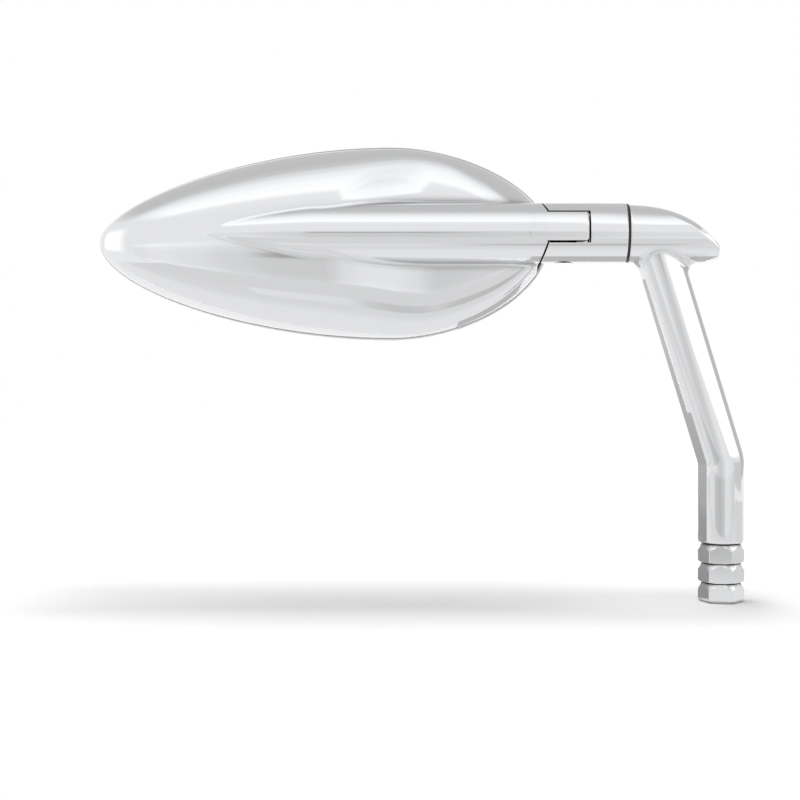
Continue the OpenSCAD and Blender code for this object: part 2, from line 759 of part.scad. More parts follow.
arm();
foot_adapter();
foot_stud();
swivel_friction_ring();
swivel_flat_washer();
swivel_spring_washers();
swivel_screw();
knuckle();
pivot_screw();
upper_pivot_washer();
lower_pivot_washer();
housing();
pivot_bush();
glass_gasket();
bezel();
mirror_glass();
foam_pad();
backing_plate();
plate_screws();
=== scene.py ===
import bmesh
import bpy
import json
import math
import numpy as np
from mathutils import Matrix, Vector


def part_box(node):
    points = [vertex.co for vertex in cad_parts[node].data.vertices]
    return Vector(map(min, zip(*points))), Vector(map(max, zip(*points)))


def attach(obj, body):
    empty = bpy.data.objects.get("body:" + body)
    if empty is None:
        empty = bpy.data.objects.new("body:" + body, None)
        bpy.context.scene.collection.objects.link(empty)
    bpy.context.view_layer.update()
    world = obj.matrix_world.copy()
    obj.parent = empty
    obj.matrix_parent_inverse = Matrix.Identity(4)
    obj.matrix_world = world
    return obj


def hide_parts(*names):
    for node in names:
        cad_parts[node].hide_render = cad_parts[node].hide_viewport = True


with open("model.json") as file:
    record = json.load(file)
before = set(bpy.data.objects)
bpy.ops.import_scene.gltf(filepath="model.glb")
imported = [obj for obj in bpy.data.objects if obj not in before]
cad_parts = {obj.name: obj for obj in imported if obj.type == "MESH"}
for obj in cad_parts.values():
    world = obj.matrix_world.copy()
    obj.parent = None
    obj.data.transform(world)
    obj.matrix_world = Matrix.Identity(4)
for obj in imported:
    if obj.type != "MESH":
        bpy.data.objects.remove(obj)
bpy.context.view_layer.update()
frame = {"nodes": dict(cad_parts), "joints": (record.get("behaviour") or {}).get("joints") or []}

# Lower post, leaning post and barrel: one polished bar of 19 mm, bent once and welded into a 25 mm barrel
# whose right end is milled to a long beak. A rolling fillet blends the two, and the beak's rim is softened.

MM = 0.001
weld = 0.002 * MM


def box_mm(node):
    """The lowest and highest corners of a CAD node, in millimetres."""
    low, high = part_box(node)
    return low / MM, high / MM


# Sizes are in millimetres here and below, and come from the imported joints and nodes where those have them
swivel, trim = [Vector(j["pos_m"]) / MM for j in frame["joints"]]
axis_z = swivel.z
barrel_r = (box_mm("knuckle")[1].y - box_mm("knuckle")[0].y) / 2
barrel_face = box_mm("swivel_friction_ring")[1].x
post_r = box_mm("arm")[1].x
post_foot = box_mm("arm")[0].z
spigot_end = box_mm("arm")[0].x
bend_z = 58.4
arm_reach = 28.8
post_edge = 1.2
post_fillet = 4.0
beak_r = 49.0
beak_reach = 0.8
beak_low = -10.0
beak_edge = 2.6
lip_slope = math.radians(21)
lip_edge = 1.4
face_edge = 0.35
spigot_r = 7.0
spigot_edge = 0.4
spigot_sunk = 1.0
# A line well inside the barrel and its beak, from which each ring is searched
barrel_heart_z = -2.0
beak_heart_x = -3.0
beak_heart_z = -11.3
beak_tip_z = -11.2
heart_fall = 0.5
heart_rise = 0.2


def skin(rows):
    """A sheet of quads whose points are the rows given in millimetres; equal points are welded."""
    rows = np.asarray(rows, float) * MM
    down, across = rows.shape[:2]
    bm = bmesh.new()
    bmesh.ops.create_grid(bm, x_segments=across - 1, y_segments=down - 1, size=1)
    bm.verts.ensure_lookup_table()
    for vert, point in zip(bm.verts, rows.reshape(-1, 3)):
        vert.co = point
    return bm


def piece(name, bm, body, slot, material, *nodes, sharp=35.0):
    """A finished object from welded bmesh sheets, which rides on its body and stands for CAD nodes."""
    bmesh.ops.remove_doubles(bm, verts=bm.verts, dist=weld)
    bmesh.ops.dissolve_degenerate(bm, edges=bm.edges, dist=weld / 2)
    bmesh.ops.holes_fill(bm, edges=bm.edges, sides=0)
    bmesh.ops.recalc_face_normals(bm, faces=bm.faces)
    mesh = bpy.data.meshes.new(name)
    bm.to_mesh(mesh)
    bm.free()
    obj = bpy.data.objects.new(name, mesh)
    bpy.context.scene.collection.objects.link(obj)
    mesh.shade_smooth()
    mesh.set_sharp_from_angle(angle=math.radians(sharp))
    mesh.materials.append(material)
    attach(obj, body)
    if nodes:
        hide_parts(*nodes)
    return obj


def new_material(name):
    """An unused material, with its nodes and main shader."""
    material = bpy.data.materials.new(name)
    material.use_nodes = True
    nodes = material.node_tree.nodes
    return material, nodes, nodes["Principled BSDF"]


def add_node(nodes, kind, operation=None, **values):
    """A new node with its operation and input values, whose names have _ for a space."""
    node = nodes.new("ShaderNode" + kind)
    if operation:
        node.operation = operation
    for name, value in values.items():
        node.inputs[name.replace("_", " ")].default_value = value
    return node


def wire(source, output, target, entry):
    """Links one node's output to another's input."""
    source.id_data.links.new(source.outputs[output], target.inputs[entry])


def add_sockets(group, inputs, outputs):
    """Gives a node group its inputs, each a name and a usual value, and its number outputs."""
    for name, value in inputs.items():
        kind = "NodeSocketFloat" if isinstance(value, float) else "NodeSocketVector"
        socket = group.interface.new_socket(name, in_out="INPUT", socket_type=kind)
        if value is not None:
            socket.default_value = value
    for name in outputs:
        group.interface.new_socket(name, in_out="OUTPUT", socket_type="NodeSocketFloat")
    return group.nodes, group.links, group.nodes.new("NodeGroupInput"), group.nodes.new("NodeGroupOutput")


def polish_group():
    """Fine straight marks, soft haze and the slow wave of hand polishing, as roughness and height."""
    group = bpy.data.node_groups.new("polishing marks", "ShaderNodeTree")
    usual = {"Vector": None, "Stretch": (0.04, 1.0, 1.0), "Base": 0.06, "Haze": 0.04, "Marks": 0.03,
             "Grain": 900.0, "Wave": 3.0}
    nodes, links, start, end = add_sockets(group, usual, ("Roughness", "Height"))
    stretch = add_node(nodes, "VectorMath", "MULTIPLY")
    marks = add_node(nodes, "TexNoise", Detail=6.0)
    haze = add_node(nodes, "TexNoise", Scale=45.0, Detail=3.0)
    wave = add_node(nodes, "TexNoise", Scale=70.0, Detail=1.0)
    wire(start, "Vector", wave, "Vector")
    wire(start, "Vector", haze, "Vector")
    wire(start, "Vector", stretch, 0)
    wire(start, "Stretch", stretch, 1)
    wire(stretch, "Vector", marks, "Vector")
    wire(start, "Grain", marks, "Scale")

    def add_share(texture, amount, base):
        """The base with a share of a texture on top."""
        total = add_node(nodes, "Math", "MULTIPLY_ADD")
        for socket, value in zip(total.inputs, (texture.outputs["Fac"], start.outputs[amount], base)):
            links.new(value, socket)
        return total.outputs["Value"]

    hazy = add_share(haze, "Haze", start.outputs["Base"])
    links.new(add_share(marks, "Marks", hazy), end.inputs["Roughness"])
    links.new(add_share(wave, "Wave", marks.outputs["Fac"]), end.inputs["Height"])
    return group


polish = polish_group()


def finished(material, group, **values):
    """Puts a group that reads the object's own coordinates into a material, and returns its node."""
    nodes = material.node_tree.nodes
    node = add_node(nodes, "Group")
    node.node_tree = group
    for name, value in values.items():
        node.inputs[name].default_value = value
    wire(add_node(nodes, "TexCoord"), "Object", node, "Vector")
    return node


def lifted(nodes, shader, wear, strength, depth):
    """Bumps a surface by the height that a group gives out, to a depth in millimetres."""
    lift = add_node(nodes, "Bump", Strength=strength, Distance=depth * MM)
    wire(wear, "Height", lift, "Height")
    wire(lift, "Normal", shader, "Normal")


def polished(name, colour, base, haze, marks, bump, stretch=(0.04, 1.0, 1.0), wave=3.0, reach=4.0):
    """Bare or plated metal: marks run along the axis stretched least, and painted shade darkens creases."""
    material, nodes, shader = new_material(name)
    shader.inputs["Metallic"].default_value = 1.0
    # Painted shade: an occlusion test darkens the base colour in creases and narrow gaps, out to the reach in
    # millimetres
    crevice = add_node(nodes, "AmbientOcclusion", Distance=reach * MM)
    crevice.samples = 6
    painted_crease_shade = add_node(nodes, "MapRange", From_Min=0.58, From_Max=0.95, To_Min=0.03)
    shade = add_node(nodes, "VectorMath", "SCALE")
    shade.inputs[0].default_value = colour
    wire(crevice, "AO", painted_crease_shade, "Value")
    wire(painted_crease_shade, "Result", shade, "Scale")
    wire(shade, "Vector", shader, "Base Color")
    wear = finished(material, polish, Base=base, Haze=haze, Marks=marks, Stretch=stretch, Wave=wave)
    wire(wear, "Roughness", shader, "Roughness")
    lifted(nodes, shader, wear, bump, 0.02)
    return material


chrome = polished("polished chrome", (0.77, 0.775, 0.785), 0.03, 0.03, 0.03, 0.09)

lean = math.atan2(arm_reach, axis_z - bend_z)
post_up = np.array([-math.sin(lean), 0.0, math.cos(lean)])
post_right = np.array([math.cos(lean), 0.0, math.sin(lean)])
away = np.array([0.0, 1.0, 0.0])
bend = np.array([0.0, 0.0, bend_z])


def post_rows(turns=160, bend_r=14.0, fillet_steps=12, pole_r=0.01, sunk=1.5):
    """Rings of the bar from its foot to the blend with the barrel."""
    angles = np.linspace(0, 2 * math.pi, turns + 1)
    flat = np.array([[math.cos(a), math.sin(a), 0.0] for a in angles])
    tilted = np.array([post_right * math.cos(a) + away * math.sin(a) for a in angles])
    rows = [flat * pole_r + [0, 0, post_foot], flat * (post_r - post_edge) + [0, 0, post_foot]]
    for step in np.linspace(0, math.pi / 2, 7)[1:]:
        r = post_r - post_edge * (1 - math.sin(step))
        rows.append(flat * r + [0, 0, post_foot + post_edge * (1 - math.cos(step))])
    run = bend_r * math.tan(lean / 2)
    rows.append(flat * post_r + [0, 0, bend_z - run])
    for step in np.linspace(0, lean, 9)[1:]:
        centre = [-bend_r * (1 - math.cos(step)), 0, bend_z - run + bend_r * math.sin(step)]
        right = np.array([math.cos(step), 0, math.sin(step)])
        rows.append(np.array([right * math.cos(a) + away * math.sin(a) for a in angles]) * post_r + centre)
    # A ball rolled round the corner touches the post along one ring and the barrel along another
    reach = post_r + post_fillet
    centres = tilted * reach + bend
    ball_z = axis_z - np.sqrt((barrel_r + post_fillet) ** 2 - centres[:, 1] ** 2)
    climb = (ball_z - centres[:, 2]) / post_up[2]
    centres = centres + climb[:, None] * post_up
    to_post = -tilted
    to_barrel = -centres * [0, 1, 1] + [0, 0, axis_z]
    to_barrel /= np.linalg.norm(to_barrel, axis=1)[:, None]
    gap = np.arccos(np.clip((to_post * to_barrel).sum(1), -1, 1))[:, None]
    for share in np.linspace(0, 1, fillet_steps + 1):
        towards = (np.sin((1 - share) * gap) * to_post + np.sin(share * gap) * to_barrel) / np.sin(gap)
        rows.append(centres + post_fillet * towards)
    inside = rows[-1] + to_barrel * sunk
    rows.append(inside)
    rows.append(np.repeat(inside.mean(0)[None], turns + 1, 0))
    return rows


beak_centre_z = barrel_r - beak_r
beak_centre_x = beak_reach - math.sqrt(beak_r ** 2 - (beak_low - beak_centre_z) ** 2)


def round_cut(a, b, r):
    """Distance to the body common to two, with its edge rounded to r."""
    return np.minimum(np.maximum(a, b), -r) + np.hypot(np.maximum(a + r, 0), np.maximum(b + r, 0))


def barrel_distance(x, y, z):
    """Distance outside the barrel, cut by the beak's long curve above and its lip below."""
    tube = np.hypot(y, z) - barrel_r
    over = np.hypot(x - beak_centre_x, z - beak_centre_z) - beak_r
    lip = (x - beak_reach) * math.sin(lip_slope) - (z - beak_low) * math.cos(lip_slope)
    return round_cut(round_cut(tube, over, beak_edge), lip, lip_edge)


def cast(distance, centre, ray, far, tries=34):
    """How far each ray runs from its centre before it leaves the body."""
    near = np.zeros(len(ray))
    far = np.full(len(ray), float(far))
    for _ in range(tries):
        mid = (near + far) / 2
        at = centre + ray * mid[:, None]
        inside = distance(at[:, 0], at[:, 1], at[:, 2]) < 0
        near, far = np.where(inside, mid, near), np.where(inside, far, mid)
    return near


def barrel_rows(rings=150, turns=224, least=0.02, short=0.01):
    """Rings of the barrel from the face beside the friction ring to the beak's tip."""
    angles = np.linspace(0, 2 * math.pi, turns + 1)

    def reach(start, direction, far=30):
        """How far the barrel runs from a place inside it in one direction."""
        return cast(barrel_distance, start, np.array([direction]), far)[0]

    tip = reach(np.array([[beak_heart_x, 0, beak_tip_z]]), [1.0, 0, 0], far=9) + beak_heart_x
    xs = barrel_face + (tip - short - barrel_face) * np.sin(np.linspace(0, math.pi / 2, rings))
    rows = []
    for x in xs:
        heart_z = min(barrel_heart_z, beak_heart_z + max(0, beak_heart_x - x) * heart_fall)
        if x > beak_heart_x:
            heart_z = beak_heart_z + (x - beak_heart_x) * heart_rise
        middle = np.array([[x, 0, heart_z]])
        top, low = reach(middle, [0, 0, 1.0]), reach(middle, [0, 0, -1.0])
        middle[0, 2] += (top - low) / 2
        half = max((top + low) / 2, least)
        side = max(reach(middle, [0, 1.0, 0]), least)
        ray = np.array([[0, side * math.cos(a), half * math.sin(a)] for a in angles])
        rows.append(middle + ray * cast(barrel_distance, middle, ray, 4)[:, None])
    rows = [row + [0, 0, axis_z] for row in rows]
    # The flat face that the friction ring lies on, with a fine chamfer round it
    first = rows[0]
    centre = np.array([barrel_face, 0, axis_z])
    face = []
    for step in np.linspace(0, math.pi / 2, 5)[:-1]:
        shrink = 1 - face_edge * (1 - math.sin(step)) / barrel_r
        ring = centre + (first - centre) * shrink
        face.append(ring + [face_edge * (1 - math.cos(step)), 0, 0])
    rows = [row for row in rows if row[0][0] > barrel_face + face_edge]
    rows = [np.repeat(centre[None], turns + 1, 0), *face, *rows]
    rows.append(np.repeat(rows[-1].mean(0)[None], turns + 1, 0))
    return rows


def join(bm, other):
    """Moves another bmesh into a piece's own."""
    spare = bpy.data.meshes.new("spare")
    other.to_mesh(spare)
    other.free()
    bm.from_mesh(spare)
    bpy.data.meshes.remove(spare)


def turned(profile, place=Matrix(), turns=144):
    """A solid turned about its own Z from half its outline, [radius, height] pairs in millimetres."""
    bm = bmesh.new()
    verts = [bm.verts.new(Vector((r, 0, h)) * MM) for r, h in profile]
    edges = [bm.edges.new(pair) for pair in zip(verts, verts[1:])]
    bmesh.ops.spin(
        bm, geom=verts + edges, axis=(0, 0, 1), cent=(0, 0, 0), angle=2 * math.pi, steps=turns,
        use_merge=True)
    bmesh.ops.remove_doubles(bm, verts=bm.verts, dist=weld / 4)
    bmesh.ops.recalc_face_normals(bm, faces=bm.faces)
    bmesh.ops.transform(bm, matrix=place, verts=bm.verts)
    return bm


def along_x(x):
    """Where a turned solid's Z axis lies along the swivel axis, with its zero at x."""
    return Matrix.Translation((x * MM, 0, axis_z * MM)) @ Matrix.Rotation(math.pi / 2, 4, "Y")


spigot_len = barrel_face - spigot_end
arm_mesh = bmesh.new()
for rows in (post_rows(), barrel_rows()):
    sheet = skin(rows)
    bmesh.ops.remove_doubles(sheet, verts=sheet.verts, dist=weld)
    bmesh.ops.recalc_face_normals(sheet, faces=sheet.faces)
    join(arm_mesh, sheet)
join(arm_mesh, turned(
    [(0, 0), (spigot_r - spigot_edge, 0), (spigot_r, spigot_edge), (spigot_r, spigot_len + spigot_sunk),
     (0, spigot_len + spigot_sunk)], along_x(spigot_end), turns=96))
piece("arm_bar", arm_mesh, "arm", "chrome", chrome, "arm")

# Foot adapter: a hexagonal steel bar turned down to necks and fine grooves between its three rings, then
# plated like the arm. The stud above screws it to the arm, and the thread below takes the handlebar's stud.

ring_pitch = 8.1
ring_count = 3
hex_corner = 9.6
hex_turn = math.radians(-11)
neck_top = 8.1
neck_base = 8.7
neck_h = 2.0
hex_edge = 1.2
groove_h = 0.5
groove_r = 7.4
thread_r = box_mm("foot_stud")[1].x + 0.95
thread_tip = 4.4
thread_depth = 11.0
thread_pitch = 1.25
thread_start = 0.75
thread_root = 0.1
thread_turns = 7.5
thread_steps = 48
ring_edge = 0.3
corner_edge = 0.35
mouth_flare = 1.6
mouth_h = 0.6
drill_point = 2.5


def carve(bm, *tools, how="DIFFERENCE"):
    """The body cut by each tool in turn, exactly."""
    parts = []
    for part in (bm, *tools):
        mesh = bpy.data.meshes.new("spare")
        part.to_mesh(mesh)
        part.free()
        parts.append(bpy.data.objects.new("spare", mesh))
        bpy.context.scene.collection.objects.link(parts[-1])
    for tool in parts[1:]:
        modifier = parts[0].modifiers.new("cut", "BOOLEAN")
        modifier.operation = how
        modifier.solver = "EXACT"
        modifier.object = tool
    made = bmesh.new()
    made.from_object(parts[0], bpy.context.evaluated_depsgraph_get())
    for part in parts:
        mesh = part.data
        bpy.data.objects.remove(part)
        bpy.data.meshes.remove(mesh)
    return made


def arc(centre_r, centre_h, r, start, end, steps=6):
    """Points of an arc in a turned profile, with its angles in degrees from the radius outwards."""
    return [(centre_r + r * math.cos(math.radians(a)), centre_h + r * math.sin(math.radians(a)))
            for a in np.linspace(start, end, steps + 1)]


ring_profile = [(0, 0)]
for ring in range(ring_count):
    base = ring * ring_pitch
    ring_profile += arc(hex_corner - hex_edge, base + hex_edge, hex_edge, -90, 0)
    cone_foot = base + ring_pitch - neck_h - hex_edge
    ring_profile += arc(hex_corner - ring_edge, cone_foot - ring_edge, ring_edge, 0, 45, 3)
    ring_profile += [(neck_base, base + ring_pitch - neck_h), (neck_top, base + ring_pitch - groove_h)]
    ring_profile += [(groove_r, base + ring_pitch - groove_h), (groove_r, base + ring_pitch)]
ring_profile += [(0, ring_count * ring_pitch)]
hexagon = bmesh.new()
bmesh.ops.create_cone(
    hexagon, cap_ends=True, segments=6, radius1=hex_corner * MM, radius2=hex_corner * MM,
    depth=2 * ring_count * ring_pitch * MM, matrix=Matrix.Rotation(hex_turn + math.pi / 6, 4, "Z"))
corner_edges = [e for e in hexagon.edges if abs(e.verts[0].co.z - e.verts[1].co.z) > MM]
bmesh.ops.bevel(
    hexagon, geom=corner_edges, offset=corner_edge * MM, offset_type="OFFSET", segments=3, profile=0.5,
    affect="EDGES", material=-1)
adapter_mesh = carve(turned(ring_profile, turns=192), hexagon, how="INTERSECT")
adapter_mesh = carve(adapter_mesh, turned(
    [(0, -1), (thread_r + mouth_flare, -1), (thread_r, mouth_h), (thread_r, thread_depth),
     (0, thread_depth + drill_point)], turns=96))
# The tapped thread is one ridge wound up the wall of the hole
ridge = bmesh.new()
root_r = thread_r + thread_root
ridge_face = ridge.faces.new([
    ridge.verts.new(Vector((r, 0, thread_start + thread_pitch * share)) * MM)
    for r, share in ((root_r, 0.0), (thread_tip, 0.42), (thread_tip, 0.54), (root_r, 0.96))])
bmesh.ops.spin(
    ridge, geom=[ridge_face, *ridge_face.edges, *ridge_face.verts], axis=(0, 0, 1), cent=(0, 0, 0),
    dvec=Vector((0, 0, thread_pitch * MM / thread_steps)), angle=2 * math.pi * thread_turns,
    steps=int(thread_steps * thread_turns))
bmesh.ops.recalc_face_normals(ridge, faces=ridge.faces)
join(adapter_mesh, ridge)
turned_chrome = polished(
    "turned chrome", (0.73, 0.735, 0.745), 0.07, 0.05, 0.08, 0.3, stretch=(1.0, 1.0, 30.0), wave=1.0,
    reach=1.6)
piece("hex_adapter", adapter_mesh, "arm", "adapter", turned_chrome, "foot_adapter", sharp=20.0)

# Swivel hardware: a black nylon ring fills the gap between barrel and knuckle, and a blackened socket screw
# with a washer and two dished springs clamps them from inside. The foot's stud is of the same dark steel.


def grain_group():
    """Mould grain: a slow and a fine noise, as a shade and a height."""
    group = bpy.data.node_groups.new("mould grain", "ShaderNodeTree")
    nodes, links, start, end = add_sockets(group, {"Vector": None, "Size": 1500.0}, ("Shade", "Height"))
    slow = add_node(nodes, "TexNoise", Scale=120.0)
    fine = add_node(nodes, "TexNoise", Detail=4.0)
    both = add_node(nodes, "Math", "MULTIPLY")
    wire(start, "Size", fine, "Scale")
    for texture, socket in zip((slow, fine), both.inputs):
        wire(start, "Vector", texture, "Vector")
        links.new(texture.outputs["Fac"], socket)
    wire(both, "Value", end, "Shade")
    wire(fine, "Fac", end, "Height")
    return group


grain = grain_group()


def moulded(name, dark, light, roughness, size, bump):
    """Plastic or rubber with a fine mould grain between two shades."""
    material, nodes, shader = new_material(name)
    grained = finished(material, grain, Size=size)
    shades = add_node(nodes, "ValToRGB")
    shades.color_ramp.elements[0].color = (*dark, 1.0)
    shades.color_ramp.elements[1].color = (*light, 1.0)
    shades.color_ramp.elements[1].position = 0.6
    rough = add_node(nodes, "MapRange", To_Min=roughness - 0.08, To_Max=roughness + 0.12)
    wire(grained, "Shade", shades, "Fac")
    wire(shades, "Color", shader, "Base Color")
    wire(grained, "Shade", rough, "Value")
    wire(rough, "Result", shader, "Roughness")
    lifted(nodes, shader, grained, bump, 0.05)
    return material


def dress(material, *nodes):
    """Gives CAD nodes whose shape is right their finish."""
    for node in nodes:
        for place in frame["nodes"][node].material_slots:
            place.material = material


nylon = moulded("black nylon", (0.008, 0.008, 0.009), (0.02, 0.02, 0.021), 0.45, 1800.0, 0.4)
black_steel = polished("blackened steel", (0.09, 0.09, 0.095), 0.32, 0.12, 0.1, 0.5, stretch=(1.0, 1.0, 0.1))
plain_steel = polished("zinc-plated steel", (0.6, 0.6, 0.6), 0.24, 0.1, 0.12, 0.4, stretch=(1.0, 0.1, 1.0))
dress(nylon, "swivel_friction_ring")
dress(black_steel, "swivel_screw", "foot_stud")
dress(plain_steel, "swivel_flat_washer", "swivel_spring_washers")

# Knuckle: a short chromed cylinder, slotted to a fork whose slanted tips match the head's shoulders. A
# socket screw comes up through the lower prong, which hides its head in a deep pocket, into the upper one.

knuckle_face = box_mm("knuckle")[1].x
shoulder_gap = 0.4
shoulder_x = trim.x - 7.0
shoulder_top = 8.55
shoulder_low = 4.8
upper_lean = math.radians(32)
lower_lean = math.radians(20)
shoulder_reach = barrel_r + 0.8
fork_end = trim.x + 10.4
pocket_r = 3.8
seat_z = -barrel_r + 4.3
screw_top = shoulder_top + 2.8
edge_round = 0.35
far = 60.0
arc_lead = 0.2
pocket_flare = 1.0
flare_depth = 0.3
bore_r = 2.05
bore_over = 0.3
bore_point = 0.9
# The hollow for the swivel's screw, springs and spigot starts in the slot; radius and end of each step
hollow_lead = 1.0
swivel_hollow = ((5.0, 7.2), (2.9, 9.6), (7.05, 30.0))
screw_head_r = 3.5
screw_head_h = 4.0
screw_head_edge = 0.5
screw_under_edge = 0.15
screw_r = 2.0
screw_point = 0.4
socket_r = 1.7


def shoulder_line(z, shift=0.0):
    """X of the slanted shoulders at a height over the swivel axis."""
    high = np.clip(z - shoulder_top, 0, shoulder_reach - shoulder_top) * math.tan(upper_lean)
    low = np.clip(-z - shoulder_low, 0, shoulder_reach - shoulder_low) * math.tan(lower_lean)
    return shoulder_x + shift - high - low


def straight(r, start, end, step=1.0):
    """A straight wall of a turned profile, in short steps so that its shading stays even."""
    return [(r, h) for h in np.linspace(start, end, max(2, round(abs(end - start) / step)))]


def upright(x, z):
    """Where a turned solid stands upright over a point of the mirror's middle plane."""
    return Matrix.Translation((x * MM, 0, z * MM))


def block(outline, y0, y1):
    """A closed prism along Y over a flat outline of [x, z] points in millimetres."""
    bm = bmesh.new()
    face = bm.faces.new([bm.verts.new(Vector((x, y0, z)) * MM) for x, z in outline])
    made = bmesh.ops.extrude_face_region(bm, geom=[face])
    moved = [g for g in made["geom"] if isinstance(g, bmesh.types.BMVert)]
    bmesh.ops.translate(bm, vec=Vector((0, y1 - y0, 0)) * MM, verts=moved)
    bmesh.ops.recalc_face_normals(bm, faces=bm.faces)
    return bm


def soften(bm, width, segments=3, angle=25.0):
    """Bevels every edge that turns by more than the angle."""
    edges = [e for e in bm.edges if len(e.link_faces) == 2 and math.degrees(e.calc_face_angle(0)) > angle]
    bmesh.ops.bevel(
        bm, geom=edges, offset=width * MM, offset_type="OFFSET", segments=segments, profile=0.5,
        affect="EDGES", clamp_overlap=True, material=-1)


knuckle_x = trim.x - 24.0
knuckle_len = knuckle_face - knuckle_x
knuckle_mesh = turned(
    [(0, 0), *straight(barrel_r, 0, knuckle_len - edge_round - arc_lead),
     *arc(barrel_r - edge_round, knuckle_len - edge_round, edge_round, 0, 90, 3), (0, knuckle_len)],
    along_x(knuckle_x), turns=224)
lower_tip = shoulder_line(-shoulder_reach, shoulder_gap)
upper_tip = shoulder_line(shoulder_reach, shoulder_gap)
slot_outline = [
    (-far + trim.x, -far), (lower_tip, -far), (lower_tip, -shoulder_reach),
    (shoulder_x + shoulder_gap, -shoulder_low), (fork_end, -shoulder_low), (fork_end, shoulder_top),
    (shoulder_x + shoulder_gap, shoulder_top), (upper_tip, shoulder_reach), (upper_tip, far),
    (-far + trim.x, far)]
knuckle_mesh = carve(knuckle_mesh, block([(x, z + axis_z) for x, z in slot_outline], -far, far))
soften(knuckle_mesh, edge_round)
pocket = [
    (0, -far), (pocket_r + pocket_flare, -far),
    (pocket_r + pocket_flare, -barrel_r - (pocket_flare - flare_depth)), (pocket_r, -barrel_r + flare_depth),
    (pocket_r, seat_z), (bore_r, seat_z), (bore_r, screw_top + bore_over), (0, screw_top + bore_point)]
hollow = [(0, 0)]
for r, end in swivel_hollow:
    hollow += [(r, hollow[-1][1]), (r, end)]
hollow.append((0, hollow[-1][1]))
knuckle_mesh = carve(
    knuckle_mesh, turned(pocket, upright(trim.x, axis_z), turns=96),
    turned(hollow, along_x(fork_end - hollow_lead), turns=96))
piece("knuckle_fork", knuckle_mesh, "knuckle", "chrome", chrome, "knuckle")

head_low = seat_z - screw_head_h
head_arc = arc(screw_head_r - screw_head_edge, head_low + screw_head_edge, screw_head_edge, -90, 0, 4)
screw_mesh = turned(
    [(0, head_low), *head_arc, (screw_head_r, seat_z - screw_under_edge),
     (screw_head_r - screw_under_edge, seat_z), (screw_r, seat_z), (screw_r, screw_top - screw_point),
     (screw_r - screw_point, screw_top), (0, screw_top)],
    upright(trim.x, axis_z), turns=72)
socket = bmesh.new()
bmesh.ops.create_cone(
    socket, cap_ends=True, segments=6, radius1=socket_r * MM, radius2=socket_r * MM, depth=screw_head_h * MM,
    matrix=upright(trim.x, axis_z + head_low))
screw_mesh = carve(screw_mesh, socket)
piece("trim_screw", screw_mesh, "knuckle", "screw_steel", black_steel, "pivot_screw")
dress(nylon, "upper_pivot_washer", "lower_pivot_washer")

# Housing: a cast and polished teardrop shell. Its spear starts as a crisp ridge near the far tip, swells to
# the barrel's own radius and runs on as the stem, whose shoulders and flat tongue fit the knuckle's fork.

bezel_low, bezel_high = box_mm("bezel")
housing_low, housing_high = box_mm("housing")
tip_x = bezel_low.x
nose_x = bezel_high.x
rim_y = housing_high.y
shell_inset = housing_low.x - bezel_low.x
mid_z = axis_z - 3.0
nose_z = axis_z - 1.0
head_rise = bezel_high.z - mid_z
head_fall = mid_z - bezel_low.z
crown_x = nose_x - 68.0
far_handle = (crown_x - tip_x) / 2
near_handle = 32.0
dome_x = tip_x + 94.0
waist_x = dome_x + 50.0
dome_depth = 22.2
waist_depth = 13.5
spear_taper = 80.0
dome_power = 2.6
spear_power = 1.4
spear_start = dome_x - 56.0
fillet_start = dome_x - 42.0
fillet_full = dome_x + 20.0
tip_fillet = 0.25
upper_fillet = 0.5
lower_fillet = 1.6
stem_clear = 0.9
tail_x = shoulder_x - 22.0
# How far the outline's curves run straight at the tip and at the nose, as shares of its rise or fall
upper_handles = (0.4, 0.5)
lower_handles = (0.46, 0.58)
shell_wall = 2.5
cavity_inset = shell_inset + shell_wall
stem_root = shoulder_x - 14.0
cavity_nose = stem_root - 1.5
cavity_end = 12.0
tongue_low = -3.9
tongue_high = 8.0
tongue_root = shoulder_x - 8.0
tongue_end = trim.x + 9.5
tongue_end_r = 1.1
tongue_bar_x = shoulder_x - 9.0
tongue_bar_len = 28
tongue_edge = 0.3
bush_bore_r = 4.05


def curve(a, b, c, d, t):
    """A smooth curve from a to d, drawn towards b and c on its way."""
    return (1 - t) ** 3 * a + 3 * (1 - t) ** 2 * t * b + 3 * (1 - t) * t ** 2 * c + t ** 3 * d


def edge_x(t, inset, nose=nose_x):
    """X of the head's outline, for t from 0 at the tip over 1 at its tallest place to 2 at the nose."""
    near = curve(tip_x + inset, tip_x + inset, crown_x - far_handle, crown_x, np.minimum(t, 1))
    far = curve(crown_x, crown_x + near_handle, nose - inset, nose - inset, np.maximum(t, 1) - 1)
    return np.where(t <= 1, near, far)


def edge_z(t, inset, side):
    """Height of the outline's upper edge (side 1) or lower edge (side -1)."""
    reach, handles = (head_rise, upper_handles) if side > 0 else (head_fall, lower_handles)
    leave_tip, leave_nose = [reach * share * (1 - inset / head_rise) for share in handles]
    crown = mid_z + side * (reach - inset)
    near = curve(mid_z, mid_z + side * leave_tip, crown, crown, np.minimum(t, 1))
    far = curve(crown, crown, nose_z + side * leave_nose, nose_z, np.maximum(t, 1) - 1)
    return np.where(t <= 1, near, far)


def ease(v, a, b):
    """A smooth step from 0 at a to 1 at b."""
    u = np.clip((v - a) / (b - a), 0, 1)
    return u * u * (3 - 2 * u)


def ridge_depth(x):
    """Depth of the dome along its ridge: full near the middle of the far half, shallow beside the stem."""
    far = np.clip((dome_x - x) / (dome_x - tip_x - shell_inset), 0, 1)
    near = dome_depth - (dome_depth - waist_depth) * ease(x, dome_x, waist_x)
    return np.where(x < dome_x, dome_depth * np.sqrt(1 - far ** dome_power), near)


outline_t = np.linspace(0, 2, 4001)
outline_x = edge_x(outline_t, shell_inset)
outline_high = edge_z(outline_t, shell_inset, 1)
outline_low = edge_z(outline_t, shell_inset, -1)


